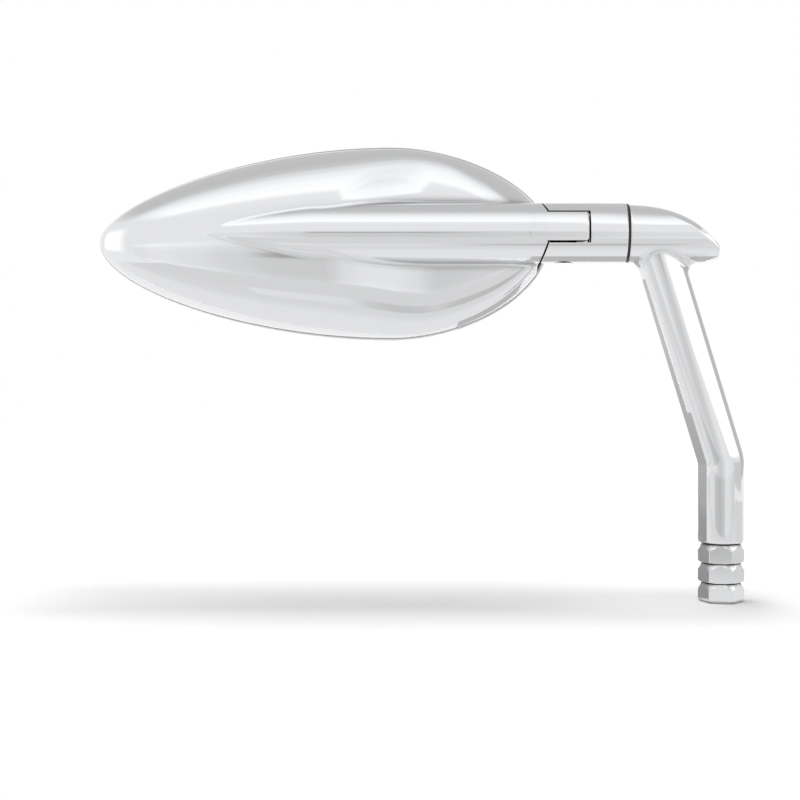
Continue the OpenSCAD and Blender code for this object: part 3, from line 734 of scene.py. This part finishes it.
def dome_span(x):
    """The dome's upper and lower height at x, which clear the stem beside it."""
    high = np.interp(x, outline_x, outline_high)
    low = np.interp(x, outline_x, outline_low)
    high = np.where(x > crown_x, np.maximum(high, axis_z + barrel_r + stem_clear), high)
    low = np.where(x > crown_x, np.minimum(low, axis_z - barrel_r - stem_clear), low)
    return high, low


def shell_distance(x, y, z, least=0.01, tiny=1e-6, no_spear=10.0):
    """Distance outside the dome and spear together, with a hollow fillet where they meet."""
    high, low = dome_span(x)
    half = np.maximum((high - low) / 2, least)
    depth = np.maximum(ridge_depth(x), least)
    across = np.abs(z - (high + low) / 2) / half
    deep = (rim_y - y) / depth
    value = np.sqrt(across ** dome_power + deep ** 2)
    steep = dome_power / 2 * across ** (dome_power - 1) / half
    slope = np.hypot(steep, deep / depth) / np.maximum(value, tiny)
    dome = (value - 1) / np.maximum(slope, tiny)
    spear_r = barrel_r * (1 - (np.maximum(0, dome_x - x) / spear_taper) ** spear_power)
    spear = np.hypot(y, z - axis_z) - np.maximum(spear_r, least)
    # Left of its tip the spear lies deep inside the dome
    spear = np.where(x < spear_start, no_spear, spear)
    growth = ease(x, fillet_start, fillet_full)
    fillet = tip_fillet + growth * np.where(z > axis_z, upper_fillet, lower_fillet)
    blend = np.hypot(np.maximum(fillet - dome, 0), np.maximum(fillet - spear, 0))
    return np.maximum(fillet, np.minimum(dome, spear)) - blend


def housing_rows(stations=250, tail=60, rays=230, first_t=0.012, crowding=1.25, least=0.5):
    """Rows of the outer face from the tip to the shoulders, each from the lower rim to the upper rim."""
    angles = np.linspace(-math.pi / 2, math.pi / 2, rays)
    last_t = np.interp(tail_x, outline_x, outline_t)
    rows = []
    for t in np.interp(np.linspace(0, 1, stations) ** crowding, [0, 1], [first_t, last_t]):
        x = float(edge_x(t, shell_inset))
        high, low = [float(height) for height in dome_span(x)]
        half = (high - low) / 2
        depth = max(float(ridge_depth(x)), least)
        middle = np.array([[x, rim_y, (high + low) / 2]])
        ray = np.array([[0, -depth * math.cos(a), half * math.sin(a)] for a in angles])
        rows.append(middle + ray * cast(shell_distance, middle, ray, 3)[:, None])
    for share in np.linspace(0, 1, tail + 1)[1:]:
        def tail_at(z):
            """X at a height of this section, which leans more as it nears the shoulders."""
            return tail_x + share * (shoulder_line(z - axis_z, -shoulder_gap) - tail_x)

        def slanted(_, y, z):
            """Distance outside the shell in the leaning section."""
            return shell_distance(tail_at(z), y, z)

        x = tail_x + share * (shoulder_x - tail_x)
        high, low = [float(height) for height in dome_span(x)]
        middle = np.array([[x, rim_y, (high + low) / 2]])
        ray = np.array([[0, -waist_depth * math.cos(a), (high - low) / 2 * math.sin(a)] for a in angles])
        at = middle + ray * cast(slanted, middle, ray, 3)[:, None]
        at[:, 0] = tail_at(at[:, 2])
        rows.append(at)
    # The shoulders themselves, from their rim inwards
    rim = rows[-1]
    centre = np.array([0, rim_y, axis_z])
    for share in (0.97, 0.8, 0.6, 0.4, 0.2, 0.0):
        ring = centre + (rim - centre) * [1, share, share]
        ring[:, 0] = shoulder_line(ring[:, 2] - axis_z, -shoulder_gap)
        rows.append(ring)
    tip = np.repeat(np.array([[tip_x + shell_inset, rim_y, mid_z]]), rays, 0)
    return [tip] + rows


def cavity_rows(stations=90, across=60, least=0.2):
    """Rows of the hollow behind the shell, which follows the dome at the wall's distance."""
    rows = [np.repeat(np.array([[tip_x + cavity_inset, rim_y, mid_z]]), across, 0)]
    for t in np.linspace(0, 2, stations + 2)[1:-1]:
        x = float(edge_x(t, cavity_inset, cavity_nose))
        high, low = float(edge_z(t, cavity_inset, 1)), float(edge_z(t, cavity_inset, -1))
        end = min(1.0, math.sqrt(max(0.0, cavity_nose - cavity_inset - x) / cavity_end))
        depth = max(least, (float(ridge_depth(x)) - shell_wall) * end)
        climb = np.sin(np.linspace(-math.pi / 2, math.pi / 2, across))
        y = rim_y - depth * np.sqrt(np.maximum(0, 1 - np.abs(climb) ** dome_power))
        rows.append(np.stack([np.full(across, x), y, (high + low) / 2 + (high - low) / 2 * climb], 1))
    return rows + [np.repeat(np.array([[cavity_nose - cavity_inset, rim_y, nose_z]]), across, 0)]


def rounded(points, radii, steps=6):
    """A flat outline through the points, with each corner rounded to its own radius."""
    made = []
    for index, (point, r) in enumerate(zip(points, radii)):
        corner = np.array(point, float)
        if r == 0:
            made.append(corner)
            continue
        before = np.array(points[index - 1], float) - corner
        after = np.array(points[(index + 1) % len(points)], float) - corner
        before, after = before / np.linalg.norm(before), after / np.linalg.norm(after)
        half = math.acos(float(np.clip(before @ after, -1, 1))) / 2
        middle = (before + after) / np.linalg.norm(before + after)
        centre = corner + middle * r / math.sin(half)
        first = corner + before * r / math.tan(half) - centre
        last = corner + after * r / math.tan(half) - centre
        sweep = math.pi - 2 * half
        for share in np.linspace(0, 1, steps + 1):
            turn = (math.sin((1 - share) * sweep) * first + math.sin(share * sweep) * last) / math.sin(sweep)
            made.append(centre + turn)
    return made


housing_mesh = bmesh.new()
for rows in (housing_rows(), cavity_rows()):
    sheet = skin(rows)
    bmesh.ops.remove_doubles(sheet, verts=sheet.verts, dist=weld)
    join(housing_mesh, sheet)
# The rim is the flat face between the dome's edge and the hollow's
rim_edges = [edge for edge in housing_mesh.edges if edge.is_boundary]
bmesh.ops.triangle_fill(housing_mesh, edges=rim_edges, use_beauty=True)
bmesh.ops.recalc_face_normals(housing_mesh, faces=housing_mesh.faces)

tongue_outline = rounded(
    [(tongue_root, tongue_low), (tongue_end, tongue_low), (tongue_end, tongue_high),
     (tongue_root, tongue_high)], [0, tongue_end_r, tongue_end_r, 0])
tongue_bar = [(0, 0), *straight(barrel_r, 0, tongue_bar_len), (0, tongue_bar_len)]
tongue_mesh = carve(
    turned(tongue_bar, along_x(tongue_bar_x), turns=224),
    block([(x, z + axis_z) for x, z in tongue_outline], -far, far), how="INTERSECT")
soften(tongue_mesh, tongue_edge)
tongue_mesh = carve(tongue_mesh, turned(
    [(0, -far), (bush_bore_r, -far), (bush_bore_r, far), (0, far)], upright(trim.x, axis_z), turns=96))
join(housing_mesh, tongue_mesh)
piece("head_shell", housing_mesh, "head", "chrome", chrome, "housing")
bronze = polished("oiled bronze", (0.55, 0.36, 0.17), 0.26, 0.14, 0.1, 0.4, stretch=(1.0, 1.0, 0.1))
dress(bronze, "pivot_bush")

# Glass end of the head: a thin rubber seal lies on the shell's rim, and a chromed bezel with a rolled lip
# holds the silvered glass on a foam pad and a moulded plate, which three small screws hold to the shell.

lip_width = 5.4
lip_t = 1.4
bezel_wall = 3.6
bezel_front = bezel_low.y
bezel_back = bezel_high.y
seal_inset = shell_inset + 0.6
seal_edge = 0.15
glass_clear = 0.2
glass_edge = 0.4
pad_clear = 2.0
pad_edge = 0.35


def outline_ring(inset, nose=None, steps=360):
    """The head's outline as a closed ring of [x, z] points, the last one on the first."""
    t = np.linspace(0, 2, steps + 1)
    x = edge_x(t, inset) if nose is None else edge_x(t, inset, nose)
    upper = np.stack([x, edge_z(t, inset, 1)], 1)
    lower = np.stack([x, edge_z(t, inset, -1)], 1)
    return np.concatenate([upper, lower[::-1][1:]])


def framed(profile, nose=None):
    """A sheet whose cross-section is the profile of [inset, y] pairs, carried round the outline."""
    rows = []
    for inset, y in profile:
        ring = outline_ring(inset, nose)
        rows.append(np.stack([ring[:, 0], np.full(len(ring), y), ring[:, 1]], 1))
    return skin(rows)


def sheet_plate(inset, y0, y1, edge, nose=None, band=1):
    """A flat plate with the head's outline and softly rounded edges."""
    steps = np.linspace(0, math.pi / 2, 5)
    profile = [(inset + edge * (1 - math.sin(a)), y0 + edge * (1 - math.cos(a))) for a in steps]
    profile += [(inset + edge * (1 - math.cos(a)), y1 - edge * (1 - math.sin(a))) for a in steps]
    return framed([(profile[0][0] + band, y0), *profile, (profile[-1][0] + band, y1)], nose)


seal_profile = rounded(
    [(seal_inset, rim_y), (seal_inset, bezel_front), (bezel_wall, bezel_front), (bezel_wall, rim_y)],
    [seal_edge] * 4, 3)
gasket_mesh = framed([*seal_profile, seal_profile[0]])
rubber = moulded("black rubber", (0.006, 0.006, 0.006), (0.016, 0.016, 0.017), 0.6, 2600.0, 0.3)
piece("glass_seal", gasket_mesh, "head", "black_rubber", rubber, "glass_gasket")

bezel_profile = rounded(
    [(0, bezel_front), (0, bezel_back), (lip_width, bezel_back), (lip_width, bezel_back - lip_t),
     (bezel_wall, bezel_back - lip_t), (bezel_wall, bezel_front)],
    [1.3, 1.8, 0.65, 0.2, 0.1, 0.2], 7)
bezel_mesh = framed([*bezel_profile, bezel_profile[0]])
piece("bezel_ring", bezel_mesh, "head", "chrome", chrome, "bezel", sharp=50.0)

glass_low, glass_high = box_mm("mirror_glass")
silvered, nodes, shader = new_material("silvered glass")
shader.inputs["Base Color"].default_value = (0.84, 0.87, 0.9, 1.0)
shader.inputs["Metallic"].default_value = 1.0
place = add_node(nodes, "TexCoord")
smears = add_node(nodes, "TexNoise", Scale=14.0, Detail=5.0, Distortion=0.6)
clean = add_node(nodes, "MapRange", From_Min=0.35, From_Max=0.75, To_Min=0.012, To_Max=0.045)
wire(place, "Object", smears, "Vector")
wire(smears, "Fac", clean, "Value")
wire(clean, "Result", shader, "Roughness")
glass_mesh = sheet_plate(bezel_wall + glass_clear, glass_low.y, glass_high.y, glass_edge)
piece("mirror_plate", glass_mesh, "head", "mirror_glass", silvered, "mirror_glass")

pad_low, pad_high = box_mm("foam_pad")
foam = moulded("black foam", (0.01, 0.01, 0.01), (0.035, 0.035, 0.035), 0.85, 3200.0, 0.9)
pad_mesh = sheet_plate(cavity_inset + pad_clear, pad_low.y, pad_high.y, pad_edge, cavity_nose)
pad = piece("foam_layer", pad_mesh, "head", "black_rubber", foam, "foam_pad")
board = moulded(
    "black moulded plastic", (0.018, 0.018, 0.019), (0.045, 0.045, 0.047), 0.5, 900.0, 0.5)
dress(board, "backing_plate")
dress(plain_steel, "plate_screws")

# Studio: a white table in a white room, with a soft lamp overhead. Panels that only the metal sees give it
# its stripes: a ceiling with a bright band, a grey wall in front, and a bright screen at either side.


def panel(name, low, high):
    """A flat panel between two corners, which the camera doesn't see."""
    mesh = bpy.data.meshes.new(name)
    bm = bmesh.new()
    bmesh.ops.create_grid(bm, x_segments=1, y_segments=1, size=0.5)
    thin = min(range(3), key=lambda axis: high[axis] - low[axis])
    wide = [axis for axis in range(3) if axis != thin]
    for vert in bm.verts:
        spot = [low[thin]] * 3
        spot[wide[0]] = low[wide[0]] + (vert.co.x + 0.5) * (high[wide[0]] - low[wide[0]])
        spot[wide[1]] = low[wide[1]] + (vert.co.y + 0.5) * (high[wide[1]] - low[wide[1]])
        vert.co = spot
    bm.to_mesh(mesh)
    bm.free()
    obj = bpy.data.objects.new(name, mesh)
    bpy.context.scene.collection.objects.link(obj)
    obj.visible_camera = False
    obj.visible_diffuse = False
    obj.visible_shadow = False
    return obj


def levels(tree, source, low, high, stops):
    """Brightness over a coordinate, from pairs of place and level, which the ramp holds at half."""
    span = add_node(tree.nodes, "MapRange", From_Min=low, From_Max=high)
    tree.links.new(source, span.inputs["Value"])
    ramp = add_node(tree.nodes, "ValToRGB")
    ramp.color_ramp.interpolation = "EASE"
    while len(ramp.color_ramp.elements) > 1:
        ramp.color_ramp.elements.remove(ramp.color_ramp.elements[-1])
    for index, (spot, level) in enumerate(stops):
        share = (spot - low) / (high - low)
        stop = ramp.color_ramp.elements[0] if index == 0 else ramp.color_ramp.elements.new(share)
        stop.position = share
        stop.color = (level / 2, level / 2, level / 2, 1.0)
    wire(span, "Result", ramp, "Fac")
    double = add_node(tree.nodes, "Math", "MULTIPLY")
    double.inputs[1].default_value = 2.0
    wire(ramp, "Color", double, 0)
    return double.outputs["Value"]


def glow(obj, level, one_sided=False):
    """Makes a panel shine at one level, or at what a function makes of its coordinates."""
    material = bpy.data.materials.new(obj.name)
    material.use_nodes = True
    tree = material.node_tree
    nodes, links = tree.nodes, tree.links
    nodes.remove(nodes["Principled BSDF"])
    shine = add_node(nodes, "Emission")
    if callable(level):
        split = add_node(nodes, "SeparateXYZ")
        wire(add_node(nodes, "TexCoord"), "Object", split, "Vector")
        links.new(level(tree, split.outputs), shine.inputs["Strength"])
    else:
        shine.inputs["Strength"].default_value = level
    surface = shine.outputs["Emission"]
    if one_sided:
        side = add_node(nodes, "NewGeometry")
        clear = add_node(nodes, "BsdfTransparent")
        choice = add_node(nodes, "MixShader")
        wire(side, "Backfacing", choice, "Fac")
        links.new(surface, choice.inputs[1])
        wire(clear, "BSDF", choice, 2)
        surface = choice.outputs["Shader"]
    links.new(surface, nodes["Material Output"].inputs["Surface"])
    obj.data.materials.append(material)


def combine(tree, how, a, b):
    """Two levels put together by a Math node."""
    made = add_node(tree.nodes, "Math", how)
    for socket, value in zip(made.inputs, (a, b)):
        if isinstance(value, float):
            socket.default_value = value
        else:
            tree.links.new(value, socket)
    return made.outputs["Value"]


def ceiling_levels(tree, axes):
    """A bright band across the ceiling that bends away at the right and fades at the left."""
    bend = levels(tree, axes["X"], -1.2, 0.8, (
        (-1.1, 0.0), (0.0, 0.0), (0.1, 0.2), (0.2, 0.45), (0.6, 0.8)))
    along = combine(tree, "ADD", axes["Y"], bend)
    band = levels(tree, along, -1.4, 1.6, (
        (-1.3, 1.0), (-0.95, 1.04), (-0.72, 1.3), (-0.5, 1.24), (-0.33, 1.12), (-0.2, 0.93), (-0.08, 0.72),
        (0.06, 0.66), (1.4, 0.7)))
    inside = levels(tree, axes["X"], -1.3, 1.0, ((-1.2, 0.0), (-0.75, 1.0)))
    over = combine(tree, "SUBTRACT", band, 1.0)
    return combine(tree, "ADD", combine(tree, "MULTIPLY", over, inside), 1.0)


def wall_levels(tree, axes):
    """A wall that darkens towards its middle, with a darker stand in front of it."""
    sideways = levels(tree, axes["X"], -1.4, 1.4, (
        (-1.3, 0.95), (-0.9, 1.0), (-0.64, 0.94), (-0.45, 0.84), (-0.33, 0.77), (-0.12, 0.76), (0.0, 0.82),
        (0.12, 0.92), (0.3, 1.0), (0.8, 0.95), (1.2, 0.9)))
    upwards = levels(tree, axes["Z"], -0.4, 0.3, (
        (-0.28, 1.12), (-0.1, 1.0), (0.1, 1.0), (0.17, 1.05), (0.22, 1.2)))
    wall = combine(tree, "MULTIPLY", sideways, upwards)
    stand_x = levels(tree, axes["X"], -0.5, 0.2, (
        (-0.42, 1.0), (-0.3, 0.0), (-0.14, 0.0), (-0.06, 1.0)))
    stand_z = levels(tree, axes["Z"], 0.0, 0.3, (
        (0.085, 1.0), (0.105, 0.0), (0.13, 0.0), (0.15, 1.0)))
    stand = combine(tree, "MAXIMUM", stand_x, stand_z)
    shade = combine(tree, "MULTIPLY", combine(tree, "MINIMUM", stand, 1.0), 0.4)
    return combine(tree, "MULTIPLY", wall, combine(tree, "ADD", shade, 0.6))


def left_levels(tree, axes):
    """A screen whose middle is brighter than its edges."""
    upwards = levels(tree, axes["Z"], -0.3, 1.0, (
        (-0.05, 0.0), (0.14, 0.36), (0.35, 0.36), (0.58, 0.0)))
    inwards = levels(tree, axes["Y"], -1.0, 1.0, (
        (-0.5, 0.0), (-0.25, 1.0), (0.1, 1.0), (0.35, 0.0)))
    return combine(tree, "ADD", combine(tree, "MULTIPLY", upwards, inwards), 1.0)


def right_levels(tree, axes):
    """A screen that is bright above and dull near the table."""
    return levels(tree, axes["Z"], -0.3, 1.0, ((0.0, 0.8), (0.1, 0.95), (0.18, 1.4), (0.8, 1.4)))


def table_panel_levels(tree, axes):
    """A glowing panel just over the table that only the metal sees: a painted reflection in place of the
    table and its shadow, darker towards the camera.
    """
    return levels(tree, axes["Y"], -0.5, 0.2, (
        (-0.45, 0.86), (-0.2, 0.84), (-0.1, 0.87), (-0.04, 0.97), (0.1, 0.99)))


def flag_levels(tree, axes):
    """A dark card that is darkest at the table."""
    return levels(tree, axes["Z"], 0.0, 0.2, (
        (0.0, 0.36), (0.022, 0.4), (0.035, 0.5), (0.06, 0.56), (0.1, 0.66)))


def screen_levels(tree, axes):
    """A low screen in front of the foot, darkest opposite the foot's left half."""
    return levels(tree, axes["X"], -0.3, 0.3, (
        (-0.24, 0.95), (-0.13, 0.92), (-0.072, 0.66), (-0.03, 0.62), (0.0, 0.7), (0.032, 0.95), (0.066, 0.92),
        (0.13, 0.82), (0.2, 0.8)))


glow(panel("ceiling", (-1.2, -1.3, 0.82), (0.6, 1.3, 0.82)), ceiling_levels)
glow(panel("front wall", (-1.4, -0.9, -0.28), (1.3, -0.9, 0.22)), wall_levels)
glow(panel("left screen", (-1.0, -0.5, -0.05), (-1.0, 0.35, 0.58)), left_levels)
glow(panel("right screen", (0.8, -0.75, 0.02), (0.8, 0.12, 0.75)), right_levels)
glow(panel("front screen", (0.27, -0.88, 0.14), (1.1, -0.88, 0.42)), 1.36)
# Painted reflection: the metal sees this panel instead of the table and the shadow on it
glow(panel("table reflection panel", (-0.5, -0.35, -0.0001), (0.25, 0.06, -0.0001)), table_panel_levels)
glow(panel("foot screen", (-0.24, -0.12, 0.0), (0.2, -0.12, 0.04)), screen_levels)
glow(panel("floor flag", (-0.07, 0.03, 0.0), (0.04, 0.2, 0.0)), 0.6)
glow(panel("left flag", (-0.06, 0.018, 0.0), (-0.06, 0.6, 0.125)), flag_levels, one_sided=True)
glow(panel("post flag", (-0.06, -0.009, 0.0), (-0.06, 0.018, 0.06)), flag_levels, one_sided=True)
glow(panel("post belt", (0.06, -0.034, 0.0), (0.06, 0.03, 0.035)), 0.83)
glow(panel("right belt", (0.42, -0.25, 0.0), (0.42, 0.12, 0.06)), 0.74)
glow(panel("right flag", (0.55, 0.12, 0.0), (0.55, 0.9, 0.45)), 0.62)
glow(panel("foot flag", (-0.0135, -0.003, 0.0), (-0.0135, 0.2, 0.026)), flag_levels, one_sided=True)


def seen_directly(tree):
    """1 where the camera, metal or glass looks, and 0 for the light that lies on surfaces."""
    path = add_node(tree.nodes, "LightPath")
    metal = combine(tree, "MAXIMUM", path.outputs["Is Camera Ray"], path.outputs["Is Glossy Ray"])
    return combine(tree, "MAXIMUM", metal, path.outputs["Is Transmission Ray"])


table = panel("table", (-2.0, -0.35, -0.0002), (2.0, 1.6, -0.0002))
table.visible_camera = True
table.visible_diffuse = True
table.visible_shadow = True
table_white, nodes, shader = new_material("table white")
tree = table_white.node_tree
shader.inputs["Base Color"].default_value = (0.8, 0.8, 0.8, 1.0)
shader.inputs["Roughness"].default_value = 0.9
shader.inputs["Specular IOR Level"].default_value = 0.0
# What the camera and the metal see of the table gets whiter away from the middle of the shadow
from_middle = add_node(nodes, "VectorMath", "DISTANCE")
from_middle.inputs[1].default_value = (-0.13, 0.0, 0.0)
wire(add_node(nodes, "TexCoord"), "Object", from_middle, 0)
lift = levels(tree, from_middle.outputs["Value"], 0.0, 1.5, (
    (0.0, 0.13), (0.3, 0.27), (0.5, 0.42), (0.7, 0.54), (1.0, 0.63), (1.4, 0.7)))
shine = add_node(nodes, "Emission")
tree.links.new(combine(tree, "MULTIPLY", lift, seen_directly(tree)), shine.inputs["Strength"])
both = add_node(nodes, "AddShader")
wire(shader, "BSDF", both, 0)
wire(shine, "Emission", both, 1)
wire(both, "Shader", nodes["Material Output"], "Surface")
table.data.materials.append(table_white)

world = bpy.data.worlds.new("studio")
world.use_nodes = True
bpy.context.scene.world = world
tree = world.node_tree
room = tree.nodes["Background"]
room.inputs["Color"].default_value = (0.4, 0.4, 0.4, 1)
white = add_node(tree.nodes, "Background", Color=(1, 1, 1, 1))
mix = add_node(tree.nodes, "MixShader")
tree.links.new(seen_directly(tree), mix.inputs["Fac"])
wire(room, "Background", mix, 1)
wire(white, "Background", mix, 2)
wire(mix, "Shader", tree.nodes["World Output"], "Surface")

lamp_data = bpy.data.lights.new("overhead lamp", "AREA")
lamp_data.shape = "RECTANGLE"
lamp_data.size = 0.2
lamp_data.size_y = 0.37
lamp_data.energy = 4.7
lamp = bpy.data.objects.new("overhead lamp", lamp_data)
lamp.location = (-0.13, 0.045, 0.8)
lamp.visible_camera = False
lamp.visible_glossy = False
bpy.context.scene.collection.objects.link(lamp)

# The camera stands level, 0.6 m in front of the mirror's middle plane, and its shift frames the whole part
camera_data = bpy.data.cameras.new("camera")
camera_data.lens = 65.25
camera_data.sensor_width = 36.0
camera_data.shift_x = -0.0525
camera_data.shift_y = -0.0525
camera_data.clip_start = 0.01
camera = bpy.data.objects.new("camera", camera_data)
camera.location = (-0.11625, -0.6042, 0.101)
camera.rotation_euler = (math.radians(90), 0, 0)
bpy.context.scene.collection.objects.link(camera)
bpy.context.scene.camera = camera
bpy.context.scene.view_settings.view_transform = "Standard"
